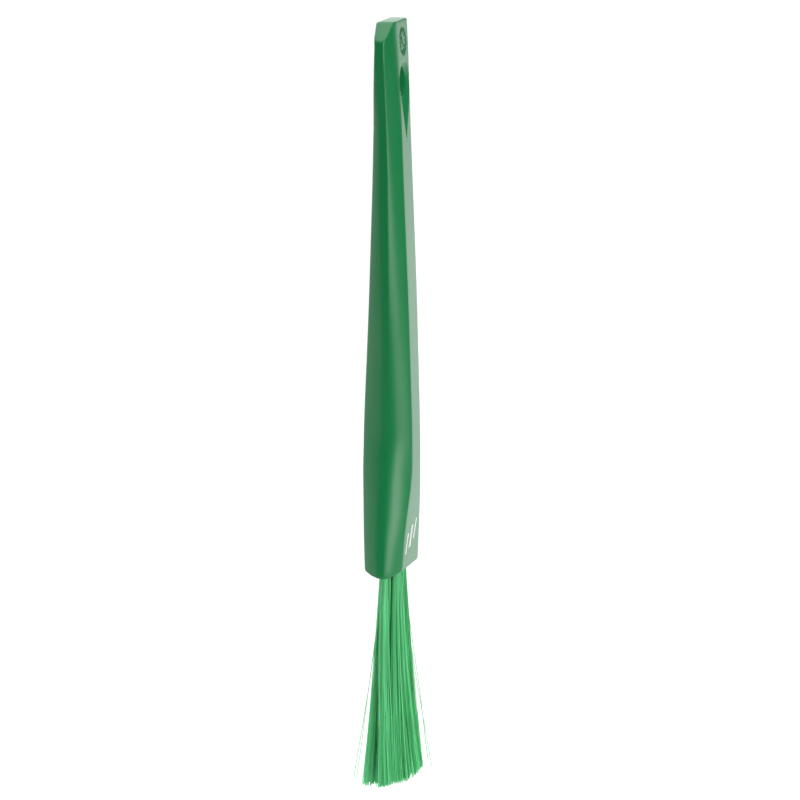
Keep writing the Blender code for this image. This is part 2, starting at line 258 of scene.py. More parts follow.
# shares of the handle's length against shares of half the head's width
ridgeShares = (
    (0, 1.0), (0.065, 0.91), (0.132, 0.78), (0.192, 0.68), (0.253, 0.61), (0.375, 0.635),
    (0.49, 0.685), (0.62, 0.71), (0.71, 0.72), (0.80, 0.725), (0.88, 0.79), (0.94, 0.865),
    (1, 0.88),
)
backShares = (
    (0, 0.80), (0.065, 0.70), (0.132, 0.55), (0.192, 0.45), (0.253, 0.385), (0.375, 0.42),
    (0.49, 0.50), (0.62, 0.555), (0.71, 0.59), (0.80, 0.61), (0.88, 0.73), (0.94, 0.83),
    (1, 0.85),
)
frontShares = (
    (0, 0.69), (0.065, 0.645), (0.10, 0.585), (0.132, 0.50), (0.16, 0.425), (0.20, 0.36),
    (0.253, 0.362), (0.375, 0.373), (0.62, 0.393), (0.80, 0.39), (0.88, 0.455), (0.94, 0.515),
    (1, 0.52),
)
# shares of the handle's length against shares of half the grip's thickness
frontDepthShares = (
    (0, 0.715), (0.03, 0.745), (0.065, 0.786), (0.10, 0.845), (0.132, 0.905), (0.16, 0.95),
    (0.205, 0.985), (0.253, 0.977), (0.375, 0.91), (0.49, 0.835), (0.62, 0.725), (0.71, 0.645),
    (0.80, 0.57), (0.88, 0.51), (0.94, 0.445), (1, 0.37),
)
backDepthShares = (
    (0, 0.78), (0.065, 0.87), (0.132, 0.965), (0.192, 1.025), (0.225, 1.035), (0.253, 1.03),
    (0.31, 0.985), (0.375, 0.91), (0.49, 0.765), (0.62, 0.645), (0.71, 0.565), (0.80, 0.51),
    (0.88, 0.445), (0.94, 0.372), (0.965, 0.355), (1, 0.395),
)
ridgeForwardShares = (
    (0, 0.07), (0.10, 0.08), (0.253, 0.045), (0.375, 0.095), (0.49, 0.14), (0.71, 0.145),
    (0.80, 0.105), (0.91, 0.055), (1, 0.05),
)
bandBackShares = (
    (0, 0.18), (0.065, 0.225), (0.192, 0.22), (0.31, 0.172), (0.49, 0.141), (0.71, 0.189),
    (0.80, 0.192), (0.88, 0.26), (0.94, 0.27), (1, 0.22),
)
# how far the front bevel swells between its edges, and where its front edge goes soft
frontBulgeShares = (
    (0, 0.81), (0.065, 0.81), (0.132, 0.86), (0.253, 0.95), (0.375, 0.86), (0.49, 0.79),
    (0.71, 0.71), (0.80, 0.64), (0.91, 0.52), (1, 0.5),
)
softEdgeShares = ((0, 0.0), (0.78, 0.0), (0.93, 1.0), (1, 1.0))


# smooth curve through a table that never swings past its points
def smoothValue(table, position):
    last = len(table) - 1
    rises = [
        (table[i + 1][1] - table[i][1]) / (table[i + 1][0] - table[i][0]) for i in range(last)
    ]
    slopes = [rises[0]]
    for before, after in zip(rises, rises[1:]):
        slopes.append(2 * before * after / (before + after) if before * after > 0 else 0.0)
    slopes.append(rises[-1])
    i = 0
    while i < last - 1 and position > table[i + 1][0]:
        i += 1
    step = table[i + 1][0] - table[i][0]
    t = min(max((position - table[i][0]) / step, 0), 1)
    return (
        (1 + 2 * t) * (1 - t) ** 2 * table[i][1] + t * t * (3 - 2 * t) * table[i + 1][1]
        + t * (1 - t) ** 2 * step * slopes[i] + t * t * (t - 1) * step * slopes[i + 1]
    )


def shareAt(height):
    return (height - handleLow.z) / handleLength


def frontDepth(height):
    return handleShape["gripThickness"] / 2 * smoothValue(frontDepthShares, shareAt(height))


def backDepth(height):
    return handleShape["gripThickness"] / 2 * smoothValue(backDepthShares, shareAt(height))


def mix(a, b, t):
    return a + (b - a) * t


def bendPoint(start, pull, end, t):
    return start * (1 - t) ** 2 + pull * (2 * t * (1 - t)) + end * t * t


# from the middle of a flat face round its corner to just before the side band
def quarterPoints(bandEdge, corner, bulge, edgeRound, bandRound):
    shape = handleShape
    pull = Vector((corner.x + (bandEdge.x - corner.x) * bulge, (bandEdge.y + corner.y) / 2))
    onFace = corner - Vector((edgeRound, 0))
    onSide = corner + (pull - corner).normalized() * edgeRound
    toPull = pull - bandEdge
    longest = shape["bandRoundLimit"] * toPull.length
    toBand = bandEdge + toPull.normalized() * min(bandRound, longest)
    points = []
    for i in range(shape["faceColumns"]):
        points.append(Vector((onFace.x * i / shape["faceColumns"], onFace.y)))
    for i in range(shape["edgePoints"]):
        points.append(bendPoint(onFace, corner, onSide, i / (shape["edgePoints"] - 1)))
    for i in range(1, shape["sidePoints"] + 1):
        points.append(bendPoint(onSide, pull, toBand, i / shape["sidePoints"]))
    return points


def halfSection(height):
    shape = handleShape
    share = shareAt(height)
    half = shape["headWidth"] / 2
    thick = shape["gripThickness"] / 2
    ridge = Vector((half * smoothValue(ridgeShares, share),
                    -thick * smoothValue(ridgeForwardShares, share)))
    bandBack = Vector((0, thick * smoothValue(bandBackShares, share)))
    bandBack.x = ridge.x - math.tan(math.radians(shape["bandTilt"])) * (bandBack.y - ridge.y)
    back = Vector((half * smoothValue(backShares, share), backDepth(height)))
    front = Vector((half * smoothValue(frontShares, share), -frontDepth(height)))
    soft = smoothValue(softEdgeShares, share)
    frontRound = mix(shape["edgeRound"], shape["topEdgeRound"], soft)
    bandRound = mix(shape["bandEdgeRound"], shape["topBandEdgeRound"], soft)
    bulge = smoothValue(frontBulgeShares, share)
    points = quarterPoints(bandBack, back, shape["backBulge"], shape["edgeRound"], bandRound)
    frontPoints = quarterPoints(ridge, front, bulge, frontRound, bandRound)
    inward = (ridge - bandBack).normalized() * bandRound
    lastBack = points[-1]
    turns = [i / shape["bandEdgePoints"] for i in range(1, shape["bandEdgePoints"])]
    for turn in turns:
        points.append(bendPoint(lastBack, bandBack, bandBack + inward, turn))
    points += [bandBack + inward, (bandBack + ridge) / 2, ridge - inward]
    for turn in turns:
        points.append(bendPoint(ridge - inward, ridge, frontPoints[-1], turn))
    points.extend(reversed(frontPoints))
    return points


# the two slanted facets at the top, blended into the sides
def facetLimit(x, height):
    shape = handleShape
    ridgeTop = shape["headWidth"] / 2 * smoothValue(ridgeShares, 1)
    below = handleHigh.z - height
    limit = ridgeTop - shape["facetWidth"] * (1 - below / shape["facetHeight"])
    soft = shape["facetSoftness"]
    overlap = max(soft - abs(x - limit), 0) / soft
    return min(x, limit) - overlap * overlap * soft / 4


def undersideRise(y):
    depth = frontDepth(handleLow.z) if y < 0 else backDepth(handleLow.z)
    return handleShape["bottomRise"] * (y / depth) ** 2


# rows of (height, how far the ring is drawn in, whether it follows the underside)
def ringRows():
    shape = handleShape
    endRound = shape["bottomRound"]
    rows = []
    steps = shape["endTurnRings"]
    for i in range(steps, 0, -1):
        turn = math.pi / 2 * i / steps
        inset = endRound * (1 - math.cos(turn))
        rows.append((handleLow.z + endRound * (1 - math.sin(turn)), inset, True))
    rows.append((handleLow.z + endRound, 0, True))
    firstLevel = handleLow.z + shape["bottomRise"] + 2 * endRound
    denseLevel = handleHigh.z - 2 * shape["facetHeight"]
    endRound = shape["topRound"]
    lastLevel = handleHigh.z - endRound
    for i in range(shape["bodyRings"]):
        level = firstLevel + (denseLevel - firstLevel) * i / shape["bodyRings"]
        rows.append((level, 0, False))
    for i in range(shape["endRings"] + 1):
        level = denseLevel + (lastLevel - denseLevel) * i / shape["endRings"]
        rows.append((level, 0, False))
    for i in range(1, steps + 1):
        turn = math.pi / 2 * i / steps
        inset = endRound * (1 - math.cos(turn))
        rows.append((lastLevel + endRound * math.sin(turn), inset, False))
    return rows


def addRing(bm, height, inset, followsUnderside):
    half = halfSection(height)
    width = max(point.x for point in half)
    depth = max(point.y for point in half)
    placed = []
    for point in half:
        x = facetLimit(point.x, height) if point.x > 0 else 0.0
        x *= 1 - inset / width
        z = height + (undersideRise(point.y) if followsUnderside else 0)
        placed.append((x, point.y * (1 - inset / depth), z))
    mirrored = [(-x, y, z) for x, y, z in reversed(placed) if x > 0]
    return [bm.verts.new(place) for place in placed + mirrored]


# each cap is a ladder of strips between mirrored points; its end strips take the flat faces' points
def closeEnd(bm, ring, facingUp):
    columns = handleShape["faceColumns"]
    count = len(ring)
    middleBack = [*ring[count - columns:], *ring[:columns + 1]]
    halfCount = count // 2 + 1
    frontStart = halfCount - columns - 1
    rungs = [(ring[i], ring[(count - i) % count]) for i in range(columns, frontStart + 1)]
    faces = [[*middleBack, rungs[1][0], rungs[1][1]]]
    for lower, upper in zip(rungs[1:-2], rungs[2:-1]):
        faces.append([lower[1], lower[0], upper[0], upper[1]])
    frontMiddle = [ring[i] for i in range(frontStart, count - frontStart + 1)]
    faces.append([rungs[-2][1], rungs[-2][0], *frontMiddle])
    for face in faces:
        unique = list(dict.fromkeys(face))
        bm.faces.new(reversed(unique) if facingUp else unique)


def buildHandle():
    bm = bmesh.new()
    rings = [addRing(bm, *row) for row in ringRows()]
    joinRings(bm, rings)
    closeEnd(bm, rings[0], False)
    closeEnd(bm, rings[-1], True)
    return meshObject("handle_shell", bm)


# hanging hole, the teardrop dish round it, the mould mark and the drilled holes under the head

hangHole = {
    "holeDiameter": 0.0092,
    "draft": 1.5,
    "dishWidth": 0.0125,
    "wallRun": 0.0015,
    "wallDepth": 0.0011,
    "dishDepth": 0.0025,
    "rimSoftness": 0.0003,
    "kneeSoftness": 0.0006,
    "rimLift": 0.2,  # share of the rim's softness that stands proud of the face
    "pointBelow": 0.017,
    "smallestShare": 0.15,  # of the dish's radius, inside the hole
    "overrun": 0.002,
    "arcSteps": 72,
    "sideSteps": 24,
    "rimSteps": 4,
    "wallSteps": 24,
}


def teardropPoints(radius):
    reach = hangHole["pointBelow"] * radius / (hangHole["dishWidth"] / 2)
    tangent = math.asin(radius / reach)
    sweep = math.pi + 2 * tangent
    steps = hangHole["arcSteps"]
    points = []
    for i in range(steps + 1):
        angle = -tangent + sweep * i / steps
        points.append(Vector((radius * math.cos(angle), radius * math.sin(angle))))
    corners = [points[-1], Vector((0, -reach)), points[0]]
    sides = hangHole["sideSteps"]
    for start, end in zip(corners, corners[1:]):
        points += [start.lerp(end, i / sides) for i in range(1, sides + 1)]
    return points[:-1]


# a closed cutter whose rings follow the front or back face, each at its own height above it
def faceCutter(name, facing, outlines, middle):
    depthAt = frontDepth if facing < 0 else backDepth
    bm = bmesh.new()
    rings = []
    for points, height in outlines:
        ring = []
        for point in points:
            ring.append(bm.verts.new((point.x, facing * (depthAt(point.y) + height), point.y)))
        rings.append(ring)
    joinRings(bm, rings)
    for ring, (points, height) in ((rings[0], outlines[0]), (rings[-1], outlines[-1])):
        centre = bm.verts.new((middle.x, facing * (depthAt(middle.y) + height), middle.y))
        for a, b in zip(ring, ring[1:] + ring[:1]):
            bm.faces.new((a, b, centre))
    return meshObject(name, bm)


# height of the dish below the face at a teardrop's size: a steep wall, then a gentle hollow
def dishHeight(size):
    hole = hangHole
    inside = hole["dishWidth"] / 2 - size
    steep = hole["wallDepth"] / hole["wallRun"]
    gentle = (hole["dishDepth"] - hole["wallDepth"]) / (hole["dishWidth"] / 2 - hole["wallRun"])
    wall = steep * inside
    floor = hole["wallDepth"] + gentle * (inside - hole["wallRun"])
    knee = hole["kneeSoftness"] * (steep - gentle) / 2
    gap = max(knee - abs(wall - floor), 0)
    return -min(wall, floor) + gap * gap / (4 * knee)


def dishCutter(facing):
    hole = hangHole
    radius = hole["dishWidth"] / 2
    soft = hole["rimSoftness"]
    steep = hole["wallDepth"] / hole["wallRun"]
    rows = [(radius + soft + hole["overrun"] / steep, hole["overrun"])]
    for i in range(hole["rimSteps"], 0, -1):
        t = i / hole["rimSteps"]
        size = radius + soft * (2 * t - 1)
        lift = soft * t * t * hole["rimLift"]
        rows.append((size, dishHeight(size - soft * t * t) * (1 - t) + lift))
    steps = hole["wallSteps"]
    smallest = radius * hole["smallestShare"]
    for i in range(steps + 1):
        size = radius - soft + (smallest - radius + soft) * i / steps
        rows.append((size, dishHeight(size)))
    outlines = [(teardropPoints(size), height) for size, height in rows]
    return faceCutter("dish_cutter", facing, outlines, Vector((0, 0)))


# the hole has a slight draft from each face to its middle
def holeCutter():
    radius = hangHole["holeDiameter"] / 2
    reach = handleShape["gripThickness"] / 2
    wider = reach * math.tan(math.radians(hangHole["draft"]))
    bm = bmesh.new()
    rings = []
    for y, size in ((-reach, radius + wider), (0, radius), (reach, radius + wider)):
        points = circlePoints(Vector((0, 0)), size, hangHole["arcSteps"])
        rings.append([bm.verts.new((point.x, y, point.y)) for point in points])
    closedTube(bm, rings)
    return meshObject("hole_cutter", bm)


mouldMark = {
    "diameter": 0.0088,
    "depth": 0.00025,
    "wallRun": 0.0003,
    "aboveHole": 0.0121,
    "ringSteps": 96,
}


def markCutter():
    mark = mouldMark
    centre = Vector((0, mark["aboveHole"]))
    radius = mark["diameter"] / 2
    outlines = []
    inner = radius - mark["wallRun"]
    for size, height in ((radius, hangHole["overrun"]), (radius, 0), (inner, -mark["depth"])):
        outlines.append((circlePoints(centre, size, mark["ringSteps"]), height))
    return faceCutter("mark_cutter", -1, outlines, centre)


# a plain date dial in the mark's recess: numbers round an insert with a pointer
dialLook = {
    "numberSize": 0.0017,
    "numberRadius": 0.00328,
    "numberRise": 0.00027,
    "insertRadius": 0.00215,
    "insertRise": 0.00014,
    "insertSteps": 48,
    "pointerLength": 0.0036,
    "pointerWidth": 0.0022,
    "pointerRise": 0.00036,
    "pointerTurn": 35,
    "sunk": 0.0001,
    "numbers": 12,
    "letterSteps": 3,
    "mergeWithin": 1e-7,
}


# moves a flat mesh onto the front face: x and y become width and height, z the height above it
def layOnFront(bm, base):
    for vert in bm.verts:
        x, level, rise = vert.co
        vert.co = (x, -(frontDepth(level) + base + rise), level)


def addPrism(bm, outline, low, high):
    lower = [bm.verts.new((point.x, point.y, low)) for point in outline]
    upper = [bm.verts.new((point.x, point.y, high)) for point in outline]
    closedTube(bm, [lower, upper])


def addNumber(bm, text, centre, turn):
    look = dialLook
    curve = bpy.data.curves.new("number", "FONT")
    curve.body = text
    curve.size = look["numberSize"]
    curve.align_x = "CENTER"
    curve.align_y = "CENTER"
    curve.resolution_u = look["letterSteps"]
    curve.extrude = (look["numberRise"] + look["sunk"]) / 2
    writer = newObject("number", curve)
    mesh = finishedMesh(writer)
    direction = Vector((math.sin(turn), math.cos(turn)))
    spot = centre + direction * look["numberRadius"]
    lift = (look["numberRise"] - look["sunk"]) / 2
    mesh.transform(Matrix.Translation((spot.x, spot.y, lift)) @ Matrix.Rotation(-turn, 4, "Z"))
    bm.from_mesh(mesh)
    bpy.data.objects.remove(writer, do_unlink=True)
    bpy.data.curves.remove(curve)
    bpy.data.meshes.remove(mesh)


def buildDial():
    look = dialLook
    centre = Vector((0, mouldMark["aboveHole"]))
    bm = bmesh.new()
    for number in range(1, look["numbers"] + 1):
        addNumber(bm, str(number), centre, 2 * math.pi * number / look["numbers"])
    insert = circlePoints(centre, look["insertRadius"], look["insertSteps"])
    addPrism(bm, insert, -look["sunk"], look["insertRise"])
    half = look["pointerLength"] / 2
    wide = look["pointerWidth"] / 2
    shaft = wide / 3  # the shaft is a third as wide as the arrowhead
    turned = Matrix.Rotation(math.radians(look["pointerTurn"]), 2)
    arrow = ((-shaft, -half), (shaft, -half), (shaft, 0), (wide, 0), (0, half), (-wide, 0), (-shaft, 0))
    addPrism(bm, [centre + turned @ Vector(place) for place in arrow], 0, look["pointerRise"])
    bmesh.ops.remove_doubles(bm, verts=bm.verts, dist=look["mergeWithin"])
    layOnFront(bm, -mouldMark["depth"])
    return meshObject("mould_dial", bm)


# plain slanted bars stand where the printed mark is: (lower x, lower z, upper x, upper z, width)
printBars = (
    (-0.0068, -0.1409, -0.0046, -0.1349, 0.0013),
    (-0.0022, -0.1396, 0.0002, -0.1331, 0.0020),
    (0.0026, -0.1377, 0.0048, -0.1318, 0.0013),
)
printLook = {
    "thickness": 0.00003,
    "sunk": 0.00005,
    "steps": 12,
    "color": (0.78, 0.86, 0.80, 1.0),
    "roughness": 0.5,
    "streakScale": 900.0,
}


def buildPrint():
    bm = bmesh.new()
    steps = printLook["steps"]
    low, high = -printLook["sunk"], printLook["thickness"]
    for lowX, lowZ, highX, highZ, width in printBars:
        start = Vector((lowX, lowZ))
        end = Vector((highX, highZ))
        aside = Vector((width / 2, 0))
        rings = []
        for i in range(steps + 1):
            middle = start.lerp(end, i / steps)
            left, right = middle - aside, middle + aside
            corners = ((left, low), (right, low), (right, high), (left, high))
            rings.append([bm.verts.new((place.x, place.y, level)) for place, level in corners])
        closedTube(bm, rings)
    layOnFront(bm, 0)
    return meshObject("printed_bars", bm)


tuftField = {
    "pitch": 0.0044,
    "rowSpacing": 0.0020,
    "middleTufts": 6,
    "outerTufts": 3,
    "holeDiameter": 0.0024,
    "holeDepth": 0.0090,
    "holeSides": 28,
    "rimShare": 0.16,  # of the hole's radius
    "floorDepthShare": 0.6,
    "floorRadiusShare": 0.02,
    "rootRadius": 0.00088,
    "tuftSpread": 0.0027,
    "trimWidth": 0.034,
    "trimThickness": 0.0162,
    "trimSlant": 0.0009,
}


# (name, root x, root y, tip x, tip y) of every tuft
def tuftPlaces():
    field = tuftField
    outerX = (field["middleTufts"] - 1) / 2 * field["pitch"]
    widenX = (field["trimWidth"] / 2 - field["tuftSpread"]) / outerX
    widenY = (field["trimThickness"] / 2 - field["tuftSpread"]) / field["rowSpacing"]
    rows = (
        ("middle", 0.0, field["middleTufts"]),
        ("front", -field["rowSpacing"], field["outerTufts"]),
        ("back", field["rowSpacing"], field["outerTufts"]),
    )
    places = []
    for row, y, count in rows:
        for i in range(count):
            x = (i - (count - 1) / 2) * field["pitch"]
            places.append(("%s_%d" % (row, i + 1), x, y, x * widenX, y * widenY))
    return places


# how far the hole's wall stands above its mouth and outside its radius, both in rims
mouthFlare = ((-6, 3), (1, 0.4), (2.2, 0))


def boreCutter():
    field = tuftField
    radius = field["holeDiameter"] / 2
    rim = radius * field["rimShare"]
    floor = handleLow.z + field["holeDepth"]
    point = floor + radius * field["floorDepthShare"]
    bm = bmesh.new()
    for name, x, y, tipX, tipY in tuftPlaces():
        mouth = handleLow.z + undersideRise(y)
        rows = [(mouth + above * rim, radius + outside * rim) for above, outside in mouthFlare]
        rows += [(floor, radius), (point, radius * field["floorRadiusShare"])]
        rings = []
        for z, size in rows:
            places = circlePoints(Vector((x, y)), size, field["holeSides"])
            rings.append([bm.verts.new((place.x, place.y, z)) for place in places])
        closedTube(bm, rings)
    return meshObject("bore_cutter", bm)


# materials

def makeMaterial(name):
    material = bpy.data.materials.new(name)
    material.use_nodes = True
    tree = material.node_tree
    return material, tree, tree.nodes["Principled BSDF"]


skinInputs = {
    "Color": (0.5, 0.5, 0.5, 1.0),
    "Grain Scale": 2600.0,
    "Streak Scale": 60.0,
    "Shade Change": 0.05,
    "Base Roughness": 0.4,
    "Roughness Change": 0.08,
}
skinLook = {
    "grainDetail": 2.0,
    "streakDetail": 3.0,
    "streakStretch": (1.0, 1.0, 0.18),
}


# shared effect: fine moulded grain with faint flow streaks
def mouldedSkinGroup():
    look = skinLook
    group = bpy.data.node_groups.new("mouldedSkin", "ShaderNodeTree")
    addSockets(group, skinInputs, {"Color": "Color", "Roughness": "Float", "Height": "Float"})
    given = addNode(group, "NodeGroupInput").outputs
    place = objectPlace(group)
    grain = noise(group, place, given["Grain Scale"], look["grainDetail"])
    stretched = vectorNode(group, "MULTIPLY", place, look["streakStretch"])
    streak = noise(group, stretched, given["Streak Scale"], look["streakDetail"])
    centred = mathNode(group, "SUBTRACT", streak, 0.5)
    lighter = add(group, multiply(group, centred, given["Shade Change"]), 1.0)
    tinted = outputOf(group, "ShaderNodeVectorMath", {0: given["Color"], "Scale": lighter},
                      operation="SCALE")
    rougher = multiply(group, centred, given["Roughness Change"])
    addNode(group, "NodeGroupOutput", {
        "Color": tinted, "Roughness": add(group, rougher, given["Base Roughness"]),
        "Height": grain,
    })
    return group


mouldedSkin = mouldedSkinGroup()


def addSkin(tree, shader, values):
    skin = addNode(tree, "ShaderNodeGroup", values, node_tree=mouldedSkin).outputs
    setInputs(shader, {"Base Color": skin["Color"], "Roughness": skin["Roughness"]})
    return skin


plasticLook = {
    "color": (0.004, 0.190, 0.054, 1.0),
    "roughness": 0.35,
    "roughnessChange": 0.10,
    "shadeChange": 0.10,
    "grainHeight": 0.00002,
    "grainStrength": 0.25,
    "refraction": 1.49,
}


def plasticMaterial():
    look = plasticLook
    material, tree, shader = makeMaterial("handlePlastic")
    skin = addSkin(tree, shader, {
        "Color": look["color"], "Base Roughness": look["roughness"],
        "Roughness Change": look["roughnessChange"], "Shade Change": look["shadeChange"],
    })
    bumped = outputOf(tree, "ShaderNodeBump", {
        "Strength": look["grainStrength"], "Distance": look["grainHeight"],
        "Height": skin["Height"],
    })
    setInputs(shader, {"Normal": bumped, "IOR": look["refraction"]})
    return material


handlePlastic = plasticMaterial()

filamentLook = {
    "darkColor": (0.03, 0.37, 0.09, 1.0),
    "lightColor": (0.185, 0.915, 0.37, 1.0),
    "roughness": 0.42,
    "specularLevel": 0.35,
    "glow": 0.5,
    "glowReach": 0.0004,
    "glowByColor": (0.6, 1.0, 0.7),
    "bundleShading": 0.35,
}


def filamentMaterial():
    look = filamentLook
    material, tree, shader = makeMaterial("filamentGreen")
    shade = addNode(tree, "ShaderNodeAttribute", attribute_name="strandShade")
    ramp = addNode(tree, "ShaderNodeValToRGB", {"Fac": shade.outputs["Fac"]})
    ramp.color_ramp.elements[0].color = look["darkColor"]
    ramp.color_ramp.elements[1].color = look["lightColor"]
    # each strand's own normal is mixed with its way out of the bunch
    outWay = addNode(tree, "ShaderNodeAttribute", attribute_name="outWay")
    blend = outputOf(tree, "ShaderNodeMix", {
        "Factor": look["bundleShading"],
        "A": addNode(tree, "ShaderNodeNewGeometry").outputs["Normal"],
        "B": outWay.outputs["Vector"],
    }, data_type="VECTOR")
    setInputs(shader, {
        "Base Color": ramp.outputs["Color"], "Normal": vectorNode(tree, "NORMALIZE", blend),
        "Roughness": look["roughness"], "Specular IOR Level": look["specularLevel"],
        "Subsurface Weight": look["glow"], "Subsurface Scale": look["glowReach"],
        "Subsurface Radius": look["glowByColor"],
    })
    return material


filamentGreen = filamentMaterial()


# pale pad-printed ink, a little uneven
def inkMaterial():
    material, tree, shader = makeMaterial("printInk")
    addSkin(tree, shader, {
        "Color": printLook["color"], "Base Roughness": printLook["roughness"],
        "Streak Scale": printLook["streakScale"],
    })
    return material


printInk = inkMaterial()

anchorLook = {
    "color": (0.62, 0.60, 0.56, 1.0),
    "grainScale": 3000.0,
    "grainStretch": (0.1, 1.0, 1.0),
    "grainDetail": 2.0,
    "roughness": 0.22,
    "roughnessChange": 0.25,
}


# steel strip, brushed across the head
def anchorMaterial():
    look = anchorLook
    material, tree, shader = makeMaterial("anchorSteel")
    brushed = vectorNode(tree, "MULTIPLY", objectPlace(tree), look["grainStretch"])
    grain = noise(tree, brushed, look["grainScale"], look["grainDetail"])
    rougher = multiply(tree, grain, look["roughnessChange"])
    setInputs(shader, {
        "Base Color": look["color"], "Metallic": 1.0,
        "Roughness": add(tree, rougher, look["roughness"]),
    })
    return material


anchorSteel = anchorMaterial()
for name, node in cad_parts.items():
    if name.startswith("anchor_"):
        paint(node, anchorSteel)
print("materials made")


handle = buildHandle()
cutters = [dishCutter(-1), dishCutter(1), holeCutter(), markCutter(), boreCutter()]
for cutter in cutters:
    cutWith(handle, cutter)
bakeModifiers(handle)
for cutter in cutters:
    bpy.data.objects.remove(cutter, do_unlink=True)
paint(handle, handlePlastic)
shadeRound(handle)
settle(handle, ["handle"])
print("handle made,", len(handle.data.polygons), "faces")

dial = buildDial()
paint(dial, handlePlastic)
shadeRound(dial)
settle(dial)
marks = buildPrint()
paint(marks, printInk)
settle(marks)
print("marks made,", len(dial.data.polygons), "faces on the dial")


# filaments: one tree grows every tuft

# values inside the tree that all strands share
strandShape = {
    "points": 11,
    "sides": 4,
    "rootJitter": 0.07,
    "ripples": 9.0,
    "rippleShare": 0.35,
    "taperStart": 24.0,
    "taperShare": 0.45,
    "bandLow": 0.33,
    "bandHigh": 0.67,
    "clumpWay": (4.0, 4.0, 0.0),
    "tuftWay": (0.35, 0.35, 0.0),
    "bunchWay": (20.0, 50.0),
    "phaseRange": 6.28,
    "scatterSeed": 31,
    "bendSeed": 57,
    "trimSeed": 83,
    "toneSeed": 7,
}

# usual value of each input of the tree; a tuft or a stray changes some
filamentInputs = {
    "Strands": 190,
    "Root X": 0.0,
    "Root Y": 0.0,
    "Tip X": 0.0,
    "Tip Y": 0.0,
    "Root Radius": 0.0,
    "Tip Spread X": 0.0,
    "Tip Spread Y": 0.0,
    "Mouth Height": 0.0,
    "Tip Height": 0.0,
    "Slant": 0.0,
    "Unevenness": 0.0018,
    "Wave": 0.0004,
    "Scatter": 0.0005,
    "Flare X": 1.0,
    "Flare Y": 1.0,
    "Half Width": 0.017,
    "Ends Drawn In": 0.38,
    "Clump Size": 0.5,
    "Clumping": 0.55,
    "Clump Tone": 0.8,
    "Band Width": 0.0017,
    "Band Tone": 0.6,
    "Painted Fill": 0.0,
    "Filament Radius": 0.00009,
    "Seed": 1,
    "Material": None,
}


def storeNode(tree, geometry, name, kind, value):
    return outputOf(tree, "GeometryNodeStoreNamedAttribute", {
        "Geometry": geometry, "Name": name, "Value": value,
    }, data_type=kind)


def readNode(tree, name, kind):
    return outputOf(tree, "GeometryNodeInputNamedAttribute", {"Name": name}, data_type=kind)


def randomNode(tree, kind, low, high, identity, seed):
    return outputOf(tree, "FunctionNodeRandomValue", {
        "Min": low, "Max": high, "ID": identity, "Seed": seed,
    }, data_type=kind)


